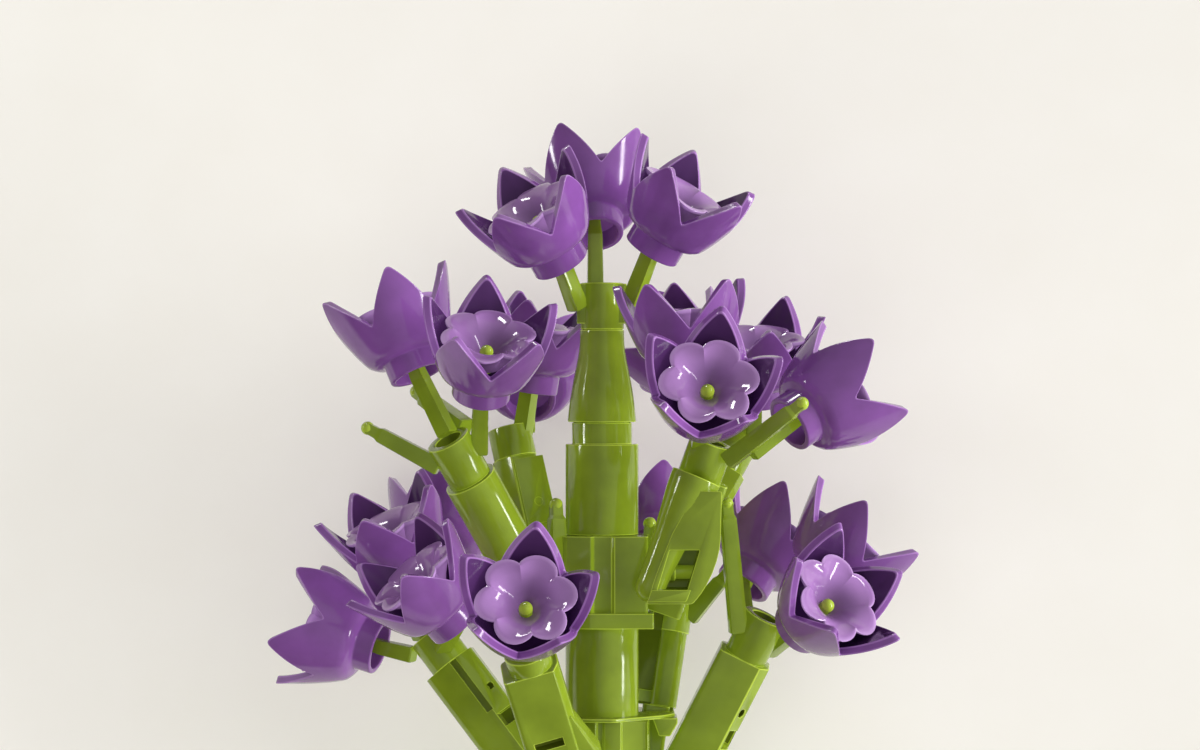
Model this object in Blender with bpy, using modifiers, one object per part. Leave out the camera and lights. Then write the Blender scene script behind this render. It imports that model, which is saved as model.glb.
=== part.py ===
"""A hyacinth flower built from moulded plastic pieces, lying on its back on a flat surface.

Purple five-pointed cups and lighter inner flowers sit on green prongs round a trunk of round
bricks, above a long stem with one leaf. Units are metres; +Z is up.

The flower is described upright, as it would stand: right, back and up in millimetres from a
point on the trunk's axis in the middle of the top cone. One empty then lays it down, with the
head towards +Y and the side away from the viewer on the surface.
"""
import math
from collections import namedtuple

import bmesh
import bpy
from mathutils import Matrix, Vector

MM = 0.001
GAP = 0.3
WELD = 0.00001
SHARP_ANGLE = math.radians(30)
FLAT_ANGLE = math.radians(0.3)

# How it lies: the tip of the head raised a little, then centred over the origin
TILT = 6.434
LIFT = 53.35
BACK_SHIFT = 175.0
SIDE_SHIFT = 7.25

# Cup: radii and heights above the open end of its collar
PETALS = 5
CUP_COLUMNS = 20
COLLAR_RADIUS = 6.2
COLLAR_BORE = 5.0
FLOOR_UNDER = 4.2
SHOULDER = (9.0, 5.2)
PETAL_NOTCH = (11.6, 11.4)
PETAL_TIP = (14.2, 20.4)
CUP_WALL = 1.6
FLOOR_TOP = 6.6
FLOOR_EDGE = (7.3, FLOOR_TOP)
BAR_HOLE = 1.9

# Inner flower: six rounded lobes on a shallow trumpet
LOBES = 6
INNER_COLUMNS = 18
INNER_FOOT = FLOOR_TOP + GAP
INNER_FOOT_RADIUS = 4.0
LOBE_NOTCH = (7.8, 14.6)
LOBE_TIP = (10.2, 15.4)
INNER_WALL = 1.4
THROAT = 9.4

# Prongs: a bar that carries a cup, from its root below the collar to its end in the throat
BAR_RADIUS = 1.55
BAR_END = 11.0
BAR_ROOT = 8.5

# Branches: a slim tube standing in a wider sleeve
TUBE_RADIUS = 4.8
SLEEVE_RADIUS = 5.8
ROUND_SIDES = 16
TUBE_OVER_HEAD = 2.6

# Trunk: radii, and heights on the axis
BRICK_RADIUS = 7.85
CONE_TOP_RADIUS = 4.9
CONE_FOOT_RADIUS = 7.55
NECK_RADIUS = 5.9
RING_RADIUS = 9.0
STUD_RADIUS = 6.6
BRICK_SIDES = 16
HEAD_TOP = 21.0
TOP_FORK = 17.35
CONE_TOP = 9.7
CONE_FOOT = -10.1
NECK_FOOT = -14.6
HUB_TOP = -34.4
HUB_FOOT = -48.4
FLANGE_FOOT = -53.8
LOWER_BARREL_FOOT = -72.5
RING_FOOT = -80.0
LOW_HUB_TOP = -86.0
LOW_HUB_FOOT = -99.0
HUB_RADIUS = 9.3
HUB_SIDES = 12
HUB_TURN = 15
FLANGE_RADIUS = 11.0
LOW_HUB_RADIUS = 10.5

# Stem: long bricks with a fine groove at each joint
STEM_BRICK = 38.4
UPPER_BRICKS = 2
LOWER_BRICKS = 6
STEM_SPLIT = LOW_HUB_FOOT - UPPER_BRICKS * STEM_BRICK
GROOVE_DEPTH = 0.5
GROOVE_HALF = 0.5

# Knob: a pin's round head on the stem, beside the leaf's foot
KNOB_HEIGHT = -160.0
KNOB_SIDE = (0.73, -0.68, 0.0)
KNOB_PROFILE = [(2.6, 11.0), (5.2, 10.5), (6.2, 9.6), (6.2, 8.6), (3.5, 8.6), (3.5, 5.0)]

# Leaf: its midline leans further over towards the tip, and its middle stands forward
LEAF_LENGTH = 107.0
LEAF_HALF_WIDTH = 17.0
LEAF_THICK = 2.2
LEAF_FOOT = (-9.5, -3.0)
LEAF_FOOT_SHARE = 0.56
LEAF_WIDEST = 0.4
LEAF_TIP_SHARE = 0.1
LEAF_TAPER = 1.3
LEAF_LEAN = (5, 92)
LEAF_FORWARD = 9.0
LEAF_CROWN = 3.0
LEAF_ROWS = 12
LEAF_COLUMNS = 4

# Branches: head of the prongs, foot on the trunk, bare tube below the head
BRANCHES = {
    "middle_left": ((-31.2, -9.6, -13.2), (-9.5, -3.0, -50.0), 10.5),
    "back_left": ((-17.6, 16.3, -12.2), (-9.0, 9.5, -48.0), 6.0),
    "right_front": ((23.1, -12.4, -14.5), (10.5, -8.5, -50.0), 8.5),
    "right_back": ((31.2, 20.0, -13.2), (12.5, 4.5, -44.0), 10.0),
    "lower_left": ((-36.2, 8.2, -58.8), (-9.5, 2.5, -93.0), 6.0),
    "lower_right": ((34.6, 5.5, -52.9), (10.5, -1.5, -93.0), 10.0),
    "lower_middle": ((-14.9, -27.9, -59.9), (-4.0, -9.5, -93.0), 5.0),
    "back_right": ((13.5, 16.4, -48.0), (5.5, 12.5, -93.0), 10.0),
}

# Blossoms: branch, open end of the collar, then how far it turns round the trunk from the
# viewer, how far it leans from upright, and its turn on its own bar, in degrees
BLOSSOMS = {
    "top_left": ("top", (-8.5, -5.5, 23.5), -50, 36, 7),
    "top_back": ("top", (-1.5, 5.5, 30.5), -174, 35, 59),
    "top_right": ("top", (10.5, -4.0, 26.5), 61, 35, 38),
    "middle_left_out": ("middle_left", (-39.0, -6.5, 0.0), -120, 26, 40),
    "middle_left_front": ("middle_left", (-25.5, -16.0, -5.0), 14, 32, 12),
    "back_left_up": ("back_left", (-16.0, 14.5, -3.5), 61, 10, 53),
    "back_left_out": ("back_left", (-16.5, 26.5, -5.5), 180, 60, 64),
    "right_up": ("right_front", (18.0, -10.5, -1.0), -67, 4, 18),
    "right_front": ("right_front", (21.0, -22.5, -9.0), 4, 58, 6),
    "right_out": ("right_front", (39.5, -11.5, -10.5), 118, 61, 70),
    "right_back_in": ("right_back", (26.0, 27.5, 0.5), -119, 39, 16),
    "right_back_up": ("right_back", (33.5, 14.5, -6.0), 4, 18, 58),
    "lower_left_up": ("lower_left", (-41.5, 14.5, -45.5), -59, 26, 30),
    "lower_left_front": ("lower_left", (-31.0, -6.5, -53.0), -64, 44, 51),
    "lower_left_out": ("lower_left", (-48.5, 12.5, -59.5), -104, 74, 56),
    "lower_left_back": ("lower_left", (-38.0, 25.8, -41.5), 166, 47, 22),
    "lower_right_front": ("lower_right", (42.0, -4.0, -54.0), 37, 61, 10),
    "lower_right_up": ("lower_right", (45.0, 8.0, -47.0), 104, 42, 8),
    "lower_right_back": ("lower_right", (31.0, 19.0, -46.5), 150, 44, 30),
    "lower_middle_front": ("lower_middle", (-15.5, -36.0, -52.5), 2, 58, 9),
    "back_right_out": ("back_right", (11.5, 24.0, -41.5), -172, 61, 35),
}

# Bare prongs, by branch: where each tip ends
BARE_PRONGS = {
    "middle_left": [(-51.0, -9.0, -10.6), (-41.0, 5.0, -3.0)],
    "right_front": [(42.8, -21.5, -5.1)],
    "lower_right": [(26.6, -3.0, -26.2)],
    "back_right": [(27.0, 12.0, -43.9)],
}

PURPLE = (0.205, 0.088, 0.320)
LIGHT_PURPLE = (0.323, 0.150, 0.451)
GREEN = (0.235, 0.352, 0.025)
STEM_GREEN = (0.212, 0.330, 0.030)
GLOSS_ROUGHNESS = 0.22

Setting = namedtuple("Setting", "parts joining frame")


def material(name, colour):
    """A glossy moulded plastic."""
    mat = bpy.data.materials.new(name)
    mat.use_nodes = True
    shader = mat.node_tree.nodes["Principled BSDF"]
    shader.inputs["Base Color"].default_value = (*colour, 1.0)
    shader.inputs["Roughness"].default_value = GLOSS_ROUGHNESS
    shader.inputs["Metallic"].default_value = 0.0
    return mat


def place(obj, matrix, collection, setting):
    """Stands an object in the upright flower, under the empty that lays it down."""
    collection.objects.link(obj)
    obj.parent = setting.frame
    obj.matrix_basis = matrix
    return obj


def aim(origin, direction):
    """Stands a z-up shape on origin, pointing along direction."""
    turn = Vector(direction).to_track_quat("Z", "Y").to_matrix().to_4x4()
    return Matrix.Translation(Vector(origin) * MM) @ turn


def smooth_round(mesh):
    """Shades round faces smooth and keeps the corners sharp."""
    mesh.shade_smooth()
    mesh.set_sharp_from_angle(angle=SHARP_ANGLE)


def settle(obj, mat):
    """Turns an object's modifiers into its mesh, in its one material."""
    bpy.context.view_layer.update()
    mesh = bpy.data.meshes.new_from_object(obj.evaluated_get(bpy.context.evaluated_depsgraph_get()))
    obj.modifiers.clear()
    obj.data = mesh
    mesh.materials.clear()
    mesh.materials.append(mat)
    smooth_round(mesh)


def turned(name, profile, sides):
    """A solid turned about z; its (radius, height) pairs run down the outer side."""
    line = [(0.0, profile[0][1]), *profile, (0.0, profile[-1][1])]
    mesh = bpy.data.meshes.new(name)
    mesh.from_pydata([(radius * MM, 0.0, height * MM) for radius, height in line],
                     [(i, i + 1) for i in range(len(line) - 1)], [])
    obj = bpy.data.objects.new(name, mesh)
    screw = obj.modifiers.new("turn", "SCREW")
    screw.steps = sides
    screw.render_steps = sides
    screw.use_merge_vertices = True
    screw.merge_threshold = WELD
    return obj


def bar(name, points, setting):
    """A round bar along straight runs, made a mesh with its caps welded on."""
    curve = bpy.data.curves.new(name, "CURVE")
    curve.dimensions = "3D"
    curve.bevel_depth = BAR_RADIUS * MM
    curve.bevel_resolution = 2
    curve.use_fill_caps = True
    spline = curve.splines.new("POLY")
    spline.points.add(len(points) - 1)
    for knot, point in zip(spline.points, points):
        knot.co = (*(Vector(point) * MM), 1.0)
    guide = bpy.data.objects.new(name + "_guide", curve)
    setting.joining.objects.link(guide)
    bpy.context.view_layer.update()
    mesh = bpy.data.meshes.new_from_object(guide.evaluated_get(bpy.context.evaluated_depsgraph_get()))
    bpy.data.objects.remove(guide, do_unlink=True)
    bm = bmesh.new()
    bm.from_mesh(mesh)
    bmesh.ops.remove_doubles(bm, verts=bm.verts, dist=WELD)
    bmesh.ops.recalc_face_normals(bm, faces=bm.faces)
    bm.to_mesh(mesh)
    bm.free()
    return bpy.data.objects.new(name, mesh)


def as_cutter(obj):
    obj.hide_render = True
    obj.display_type = "WIRE"
    return obj


def joined(base, others, cutters, mat):
    """Unites a placed solid with others, takes the cutters away, and clears both up."""
    for other in others + cutters:
        change = base.modifiers.new(other.name, "BOOLEAN")
        change.operation = "DIFFERENCE" if other in cutters else "UNION"
        change.object = other
        change.solver = "EXACT"
    settle(base, mat)
    bm = bmesh.new()
    bm.from_mesh(base.data)
    bmesh.ops.dissolve_limit(bm, angle_limit=FLAT_ANGLE, verts=bm.verts, edges=bm.edges)
    bmesh.ops.remove_doubles(bm, verts=bm.verts, dist=WELD)
    bm.to_mesh(base.data)
    bm.free()
    for other in others + cutters:
        bpy.data.objects.remove(other, do_unlink=True)


def bloom_matrix(collar, toward, lean, turn):
    """Where a blossom's own z axis, from its collar outwards, stands in the upright flower."""
    turns = (Matrix.Rotation(math.radians(toward), 4, "Z")
             @ Matrix.Rotation(math.radians(lean), 4, "X")
             @ Matrix.Rotation(math.radians(turn), 4, "Z"))
    return Matrix.Translation(Vector(collar) * MM) @ turns


def bar_route(head, collar, toward, lean):
    """From the head out to the bar's root, then straight through the cup."""
    axis = bloom_matrix(collar, toward, lean, 0).to_3x3() @ Vector((0, 0, 1))
    return [Vector(head), Vector(collar) - axis * BAR_ROOT, Vector(collar) + axis * BAR_END]


def prongs(branch, head, setting):
    """The bars that spring from one head: one for each of its blossoms, and the bare ones."""
    routes = [bar_route(head, collar, toward, lean)
              for owner, collar, toward, lean, _ in BLOSSOMS.values() if owner == branch]
    routes += [[Vector(head), Vector(tip)] for tip in BARE_PRONGS.get(branch, [])]
    return [place(bar(f"{branch}_bar_{index}", route, setting), Matrix.Identity(4), setting.joining, setting)
            for index, route in enumerate(routes)]


def hub_profile(clear):
    """The upper hub and its flange, grown by clear."""
    return [(HUB_RADIUS + clear, HUB_TOP + clear), (HUB_RADIUS + clear, HUB_FOOT + clear),
            (FLANGE_RADIUS + clear, HUB_FOOT + clear), (FLANGE_RADIUS + clear, FLANGE_FOOT - clear)]


def low_hub_profile(clear):
    return [(LOW_HUB_RADIUS + clear, LOW_HUB_TOP + clear), (LOW_HUB_RADIUS + clear, LOW_HUB_FOOT - clear)]


def build_branch(branch, mat, setting):
    """Sleeve seated on a hub, slimmer tube in it, and the prongs that spring from its head."""
    head, foot, bare = BRANCHES[branch]
    run = Vector(head) - Vector(foot)
    step = run.length - bare
    profile = [(TUBE_RADIUS, run.length + TUBE_OVER_HEAD), (TUBE_RADIUS, step), (SLEEVE_RADIUS, step),
               (SLEEVE_RADIUS, 0.0)]
    arm = place(turned("branch_" + branch, profile, ROUND_SIDES), aim(foot, run), setting.parts, setting)
    on_upper_hub = foot[2] > FLANGE_FOOT
    room = turned("hub_room", hub_profile(GAP) if on_upper_hub else low_hub_profile(GAP), HUB_SIDES)
    place(as_cutter(room), Matrix.Rotation(math.radians(HUB_TURN), 4, "Z"), setting.joining, setting)
    joined(arm, prongs(branch, head, setting), [room], mat)


def build_trunk(mat, setting):
    """The round bricks on the axis, from the top prongs down to the lower hub."""
    still = Matrix.Identity(4)
    hub_turn = Matrix.Rotation(math.radians(HUB_TURN), 4, "Z")
    top = turned("top_prongs", [(TUBE_RADIUS, HEAD_TOP), (TUBE_RADIUS, CONE_TOP + GAP)], ROUND_SIDES)
    place(top, still, setting.parts, setting)
    joined(top, prongs("top", (0.0, 0.0, TOP_FORK), setting), [], mat)
    bricks = {
        "top_cone": [(CONE_TOP_RADIUS, CONE_TOP), (CONE_FOOT_RADIUS, CONE_FOOT)],
        "upper_barrel": [(NECK_RADIUS, CONE_FOOT - GAP), (NECK_RADIUS, NECK_FOOT),
                         (BRICK_RADIUS, NECK_FOOT), (BRICK_RADIUS, HUB_TOP + GAP)],
        "lower_barrel": [(BRICK_RADIUS, FLANGE_FOOT - GAP), (BRICK_RADIUS, LOWER_BARREL_FOOT),
                         (RING_RADIUS, LOWER_BARREL_FOOT), (RING_RADIUS, RING_FOOT),
                         (STUD_RADIUS, RING_FOOT), (STUD_RADIUS, LOW_HUB_TOP + GAP)],
    }
    for name, profile in bricks.items():
        settle(place(turned(name, profile, BRICK_SIDES), still, setting.parts, setting), mat)
    for name, profile in {"hub": hub_profile(0.0), "low_hub": low_hub_profile(0.0)}.items():
        settle(place(turned(name, profile, HUB_SIDES), hub_turn, setting.parts, setting), mat)


def stem_profile(top, bricks):
    """Equal bricks one below another, with a groove at each joint between them."""
    profile = [(BRICK_RADIUS, top - GAP)]
    for joint in range(1, bricks):
        height = top - joint * STEM_BRICK
        profile += [(BRICK_RADIUS, height + GROOVE_HALF), (BRICK_RADIUS - GROOVE_DEPTH, height),
                    (BRICK_RADIUS, height - GROOVE_HALF)]
    return profile + [(BRICK_RADIUS, top - bricks * STEM_BRICK)]


def build_stem(mat, setting):
    for name, top, bricks in (("stem_upper", LOW_HUB_FOOT, UPPER_BRICKS),
                              ("stem_lower", STEM_SPLIT, LOWER_BRICKS)):
        stem = turned(name, stem_profile(top, bricks), BRICK_SIDES)
        settle(place(stem, Matrix.Identity(4), setting.parts, setting), mat)


def build_knob(mat, setting):
    """A round pin head whose shank is hollowed to sit on the stem."""
    knob = place(turned("knob", KNOB_PROFILE, ROUND_SIDES), aim((0, 0, KNOB_HEIGHT), KNOB_SIDE),
                 setting.parts, setting)
    half = LEAF_HALF_WIDTH
    room = turned("stem_room", [(BRICK_RADIUS + GAP, half), (BRICK_RADIUS + GAP, -half)], BRICK_SIDES)
    place(as_cutter(room), Matrix.Translation((0, 0, KNOB_HEIGHT * MM)), setting.joining, setting)
    joined(knob, [], [room], mat)


def leaf_half_width(share):
    """Half the leaf's width a share of the way up it: a broad foot, then a long taper."""
    if share < LEAF_WIDEST:
        swell = math.sin(math.pi / 2 * share / LEAF_WIDEST)
        return LEAF_HALF_WIDTH * (LEAF_FOOT_SHARE + (1 - LEAF_FOOT_SHARE) * swell)
    taper = ((share - LEAF_WIDEST) / (1 - LEAF_WIDEST)) ** LEAF_TAPER
    return LEAF_HALF_WIDTH * (1 - (1 - LEAF_TIP_SHARE) * taper)


def leaf_point(share, side):
    """A point on the blade's middle sheet; side runs from -1 to 1 across it."""
    x, z = LEAF_FOOT
    steps = max(1, round(share * LEAF_ROWS))
    for step in range(steps if share > 0 else 0):
        lean = math.radians(LEAF_LEAN[0] + (LEAF_LEAN[1] - LEAF_LEAN[0]) * (step + 0.5) / LEAF_ROWS)
        x -= LEAF_LENGTH / LEAF_ROWS * math.sin(lean)
        z += LEAF_LENGTH / LEAF_ROWS * math.cos(lean)
    lean = math.radians(LEAF_LEAN[0] + (LEAF_LEAN[1] - LEAF_LEAN[0]) * share)
    reach = leaf_half_width(share) * side
    front = BRICK_RADIUS + GAP + LEAF_THICK / 2 + LEAF_FORWARD * share ** 2 - LEAF_CROWN * share * side ** 2
    return Vector((x + math.cos(lean) * reach, -front, KNOB_HEIGHT + z + math.sin(lean) * reach)) * MM


def build_leaf(mat, setting):
    """A grid bent over its midline and crowned across, then given its thickness."""
    bm = bmesh.new()
    bmesh.ops.create_grid(bm, x_segments=LEAF_COLUMNS, y_segments=LEAF_ROWS, size=1.0)
    for vert in bm.verts:
        vert.co = leaf_point((vert.co.y + 1) / 2, vert.co.x)
    mesh = bpy.data.meshes.new("leaf")
    bm.to_mesh(mesh)
    bm.free()
    leaf = place(bpy.data.objects.new("leaf", mesh), Matrix.Identity(4), setting.parts, setting)
    solidify = leaf.modifiers.new("thickness", "SOLIDIFY")
    solidify.thickness = LEAF_THICK * MM
    solidify.offset = 0.0
    settle(leaf, mat)


def petal_share(turn):
    """1 on the point of a petal, 0 in the notch beside it; turn counts petals round the rim."""
    return abs(1 - 2 * (turn % 1.0))


def lobe_share(turn):
    """0 in the notch between two lobes, 1 across each lobe."""
    return min(1.0, 3 * (0.5 - abs(turn % 1.0 - 0.5)))


def spun_star(name, profile, columns, share, repeats, low, high):
    """Spins a closed outline, then draws its rim from the notches up and out to the points."""
    bm = bmesh.new()
    corners = [bm.verts.new((radius * MM, 0.0, height * MM)) for radius, height in profile]
    sides = [bm.edges.new(pair) for pair in zip(corners, corners[1:] + corners[:1])]
    bmesh.ops.spin(bm, geom=corners + sides, cent=(0, 0, 0), axis=(0, 0, 1), angle=2 * math.pi,
                   steps=columns, use_merge=True)
    out, rise = (high[0] - low[0]) * MM, (high[1] - low[1]) * MM
    for vert in bm.verts:
        if vert.co.z > (low[1] - GAP) * MM:
            part = share(math.atan2(vert.co.y, vert.co.x) * repeats / (2 * math.pi))
            outward = Vector((vert.co.x, vert.co.y, 0)).normalized()
            vert.co += outward * out * part + Vector((0, 0, rise * part))
    bmesh.ops.recalc_face_normals(bm, faces=bm.faces)
    mesh = bpy.data.meshes.new(name)
    bm.to_mesh(mesh)
    bm.free()
    smooth_round(mesh)
    return mesh


def cup_mesh():
    """Hollow collar, floor with the bar's hole, and a wall drawn up into five points."""
    radius, height = PETAL_NOTCH
    profile = [(BAR_HOLE, FLOOR_UNDER), (COLLAR_BORE, FLOOR_UNDER), (COLLAR_BORE, 0.0),
               (COLLAR_RADIUS, 0.0), (COLLAR_RADIUS, FLOOR_UNDER), SHOULDER, PETAL_NOTCH,
               (radius - CUP_WALL, height), FLOOR_EDGE, (BAR_HOLE, FLOOR_TOP)]
    return spun_star("cup", profile, CUP_COLUMNS, petal_share, PETALS, PETAL_NOTCH, PETAL_TIP)


def inner_flower_mesh():
    """A shallow trumpet with six lobes, holed for the bar."""
    radius, height = LOBE_NOTCH
    profile = [(BAR_HOLE, INNER_FOOT), (INNER_FOOT_RADIUS, INNER_FOOT), LOBE_NOTCH,
               (radius - INNER_WALL, height + INNER_WALL / 2), (BAR_HOLE, THROAT)]
    return spun_star("inner_flower", profile, INNER_COLUMNS, lobe_share, LOBES, LOBE_NOTCH, LOBE_TIP)


def build_blossoms(cup_mat, inner_mat, setting):
    """Every cup and inner flower is a copy of the same two mouldings."""
    cup, inner = cup_mesh(), inner_flower_mesh()
    cup.materials.append(cup_mat)
    inner.materials.append(inner_mat)
    for name, (_, collar, toward, lean, turn) in BLOSSOMS.items():
        matrix = bloom_matrix(collar, toward, lean, turn)
        place(bpy.data.objects.new("cup_" + name, cup), matrix, setting.parts, setting)
        place(bpy.data.objects.new("inner_" + name, inner), matrix, setting.parts, setting)


def empty_scene():
    """Clears the scene and makes the two collections and the empty that lays the flower down."""
    for obj in list(bpy.data.objects):
        bpy.data.objects.remove(obj, do_unlink=True)
    parts = bpy.data.collections.new("plastic_hyacinth")
    joining = bpy.data.collections.new("joining")
    for collection in (parts, joining):
        bpy.context.scene.collection.children.link(collection)
    frame = bpy.data.objects.new("flower_frame", None)
    parts.objects.link(frame)
    frame.matrix_basis = (Matrix.Translation(Vector((SIDE_SHIFT, BACK_SHIFT, LIFT)) * MM)
                          @ Matrix.Rotation(math.radians(TILT - 90), 4, "X"))
    return Setting(parts, joining, frame)


def main():
    setting = empty_scene()
    green = material("lime green plastic", GREEN)
    stem_green = material("stem green plastic", STEM_GREEN)
    build_trunk(green, setting)
    for branch in BRANCHES:
        build_branch(branch, green, setting)
    build_stem(stem_green, setting)
    build_knob(green, setting)
    build_leaf(green, setting)
    build_blossoms(material("purple plastic", PURPLE), material("light purple plastic", LIGHT_PURPLE),
                   setting)
    bpy.data.collections.remove(setting.joining)
    bpy.context.view_layer.update()


main()
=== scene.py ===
"""A hyacinth flower put together from moulded plastic pieces, lying on its back on a pale surface.

The flower is described upright, as it would stand: right, back and up in millimetres from a point
on the trunk's axis in the middle of the top cone. LAY then lays it down, as the CAD model lies.
"""
import math

import bmesh
import bpy
from mathutils import Matrix, Vector


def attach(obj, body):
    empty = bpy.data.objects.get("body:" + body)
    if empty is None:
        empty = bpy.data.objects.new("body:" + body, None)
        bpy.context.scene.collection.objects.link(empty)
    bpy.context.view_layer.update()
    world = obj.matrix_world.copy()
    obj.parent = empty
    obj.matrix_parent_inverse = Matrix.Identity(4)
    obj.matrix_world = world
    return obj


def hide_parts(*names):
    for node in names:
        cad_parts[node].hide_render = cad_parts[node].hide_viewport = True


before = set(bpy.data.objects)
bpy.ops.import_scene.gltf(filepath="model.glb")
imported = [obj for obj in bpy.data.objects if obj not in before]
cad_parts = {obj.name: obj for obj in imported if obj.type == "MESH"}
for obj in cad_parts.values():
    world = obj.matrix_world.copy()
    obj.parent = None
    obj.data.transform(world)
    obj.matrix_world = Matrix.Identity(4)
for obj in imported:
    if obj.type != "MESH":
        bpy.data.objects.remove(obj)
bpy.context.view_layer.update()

# Camera. The flower lies with its head raised a little, and the camera looks down on the head,
# square to the trunk, from 700 mm away.
MM = 0.001
# Where the upright flower's zero point comes to lie, in metres, and the trunk's slope in degrees
HEAD_PLACE = (0.00725, 0.175, 0.05335)
HEAD_RAISED = 6.434
LAY = (Matrix.Translation(HEAD_PLACE) @ Matrix.Rotation(math.radians(HEAD_RAISED - 90), 4, "X")
       @ Matrix.Scale(MM, 4))
CAMERA_PLACE = (-0.43, -700, 0)

camera_data = bpy.data.cameras.new("camera")
camera_data.lens = 97.65
camera_data.sensor_width = 36
camera_data.clip_start = 0.01
camera_data.clip_end = 20
camera = bpy.data.objects.new("camera", camera_data)
bpy.context.scene.collection.objects.link(camera)
camera.matrix_world = (LAY @ Matrix.Translation(CAMERA_PLACE)
                       @ Matrix.Rotation(math.radians(90), 4, "X") @ Matrix.Scale(1 / MM, 4))
bpy.context.scene.camera = camera
bpy.context.scene.view_settings.view_transform = "Standard"


# Studio. A sheet of warm white paper lies under the flower. A tall narrow lamp on each side draws
# the bright lines, a large one ahead throws the soft shadow, and weak fills without shadows lift
# the dark sides.
def hex_colour(code):
    """An sRGB hex colour as the linear values that a shader takes."""
    parts = [int(code[i:i + 2], 16) / 255 for i in (1, 3, 5)]
    return (*(p / 12.92 if p <= 0.04045 else ((p + 0.055) / 1.055) ** 2.4 for p in parts), 1.0)


def add_node(tree, kind, settings=None, inputs=None):
    """A node with its settings; each input takes a value or another node's socket."""
    made = tree.nodes.new(kind)
    for name, value in (settings or {}).items():
        setattr(made, name, value)
    for name, value in (inputs or {}).items():
        if isinstance(value, bpy.types.NodeSocket):
            tree.links.new(value, made.inputs[name])
        else:
            made.inputs[name].default_value = value
    return made


def new_material(name):
    """A material of that name, and its empty node tree."""
    made = bpy.data.materials.new(name)
    made.use_nodes = True
    made.node_tree.nodes.clear()
    return made, made.node_tree


def per_metre(width):
    """A pattern's scale from its real width in millimetres."""
    return 1 / (width * MM)


# Uncoated paper is matt. Its fibre clouds are so weak that they only keep it from looking flat
PAPER_SIZE = 20000
FIBRE_CLOUD = 25.0
paper_finish, tree = new_material("uncoated warm white paper")
coords = add_node(tree, "ShaderNodeTexCoord")
clouds = add_node(tree, "ShaderNodeTexNoise", {},
                  {"Vector": coords.outputs["Object"], "Scale": per_metre(FIBRE_CLOUD), "Detail": 4.0})
paper_colour = add_node(tree, "ShaderNodeMix", {"data_type": "RGBA"},
                        {"Factor": clouds.outputs["Fac"],
                         "A": hex_colour("#f8f5ec"), "B": hex_colour("#fcfaf3")})
paper = add_node(tree, "ShaderNodeBsdfPrincipled", {},
                 {"Base Color": paper_colour.outputs["Result"], "Roughness": 0.9,
                  "Specular IOR Level": 0.2})
add_node(tree, "ShaderNodeOutputMaterial", {}, {"Surface": paper.outputs["BSDF"]})

bm = bmesh.new()
bmesh.ops.create_grid(bm, x_segments=1, y_segments=1, size=PAPER_SIZE / 2 * MM)
sheet_mesh = bpy.data.meshes.new("paper_floor")
bm.to_mesh(sheet_mesh)
bm.free()
sheet_mesh.materials.append(paper_finish)
floor = bpy.data.objects.new("paper_floor", sheet_mesh)
bpy.context.scene.collection.objects.link(floor)

# Lamps, each turned to the flower's head: its place, its width and height, its watts, and whether
# it lights, is seen in the gloss and casts shadows
LAMPS = {
    "right": ((3400, -1250, 500), (420, 3000), 70.0, True, True, True),
    "left": ((-2850, -700, 1100), (260, 700), 13.0, True, True, True),
    "top_shine": ((-640, -30, 2600), (340, 1000), 26.0, False, True, True),
    "front": ((-500, -2400, -500), (1500, 1500), 11.0, True, False, True),
    "right_fill": ((3650, -420, 0), (360, 3500), 175.0, True, False, False),
    "left_fill": ((-420, -420, -330), (400, 400), 1.4, True, False, False),
}
for name, (place, (width, height), watts, lights, seen, shadows) in LAMPS.items():
    lamp_data = bpy.data.lights.new(name, "AREA")
    lamp_data.shape = "RECTANGLE"
    lamp_data.size = width * MM
    lamp_data.size_y = height * MM
    lamp_data.energy = watts
    lamp_data.use_shadow = shadows
    lamp = bpy.data.objects.new(name, lamp_data)
    bpy.context.scene.collection.objects.link(lamp)
    toward = Vector(place).to_track_quat("Z", "Y").to_matrix().to_4x4()
    lamp.matrix_world = LAY @ Matrix.Translation(place) @ toward @ Matrix.Scale(1 / MM, 4)
    lamp.visible_diffuse = lights
    lamp.visible_glossy = seen

# The room around grows from brown to pale along this way, which tints the gloss
PALE_WAY = (0.85, 0.5, 0.15)
BROWN_AT = -0.75
PALE_AT = 0.6
ROOM_STRENGTH = 0.58
world = bpy.data.worlds.new("studio_air")
bpy.context.scene.world = world
world.use_nodes = True
air = world.node_tree.nodes["Background"]
air_coords = add_node(world.node_tree, "ShaderNodeTexCoord")
across_air = add_node(world.node_tree, "ShaderNodeVectorMath", {"operation": "DOT_PRODUCT"},
                      {0: air_coords.outputs["Generated"], 1: PALE_WAY})
air_shade = add_node(world.node_tree, "ShaderNodeMapRange", {},
                     {"Value": across_air.outputs["Value"], "From Min": BROWN_AT, "From Max": PALE_AT})
air_mix = add_node(world.node_tree, "ShaderNodeMix", {"data_type": "RGBA"},
                   {"Factor": air_shade.outputs["Result"],
                    "A": hex_colour("#4d3c30"), "B": hex_colour("#f6f5f4")})
world.node_tree.links.new(air_mix.outputs["Result"], air.inputs["Color"])
air.inputs["Strength"].default_value = ROOM_STRENGTH


# Cups. Injection-moulded ABS, purple: a hollow collar that clips over a bar, a rounded bowl and
# a wall cut into five points. The mould leaves a gloss, soft edges and a faint waviness.
PETALS = 5
CUP_COLUMNS = 160
CUP_BORE = 1.7
FLOOR_TOP = 6.6
NOTCH_HEIGHT = 10.8
TIP_RISE = 10.5
# Below the rim, this much of the wall is drawn up whole and isn't stretched
RIM_BAND = 0.9
# Roundings of points and notches, as shares of the way from one to the other
TIP_ROUND = 0.11
NOTCH_ROUND = 0.07
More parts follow.
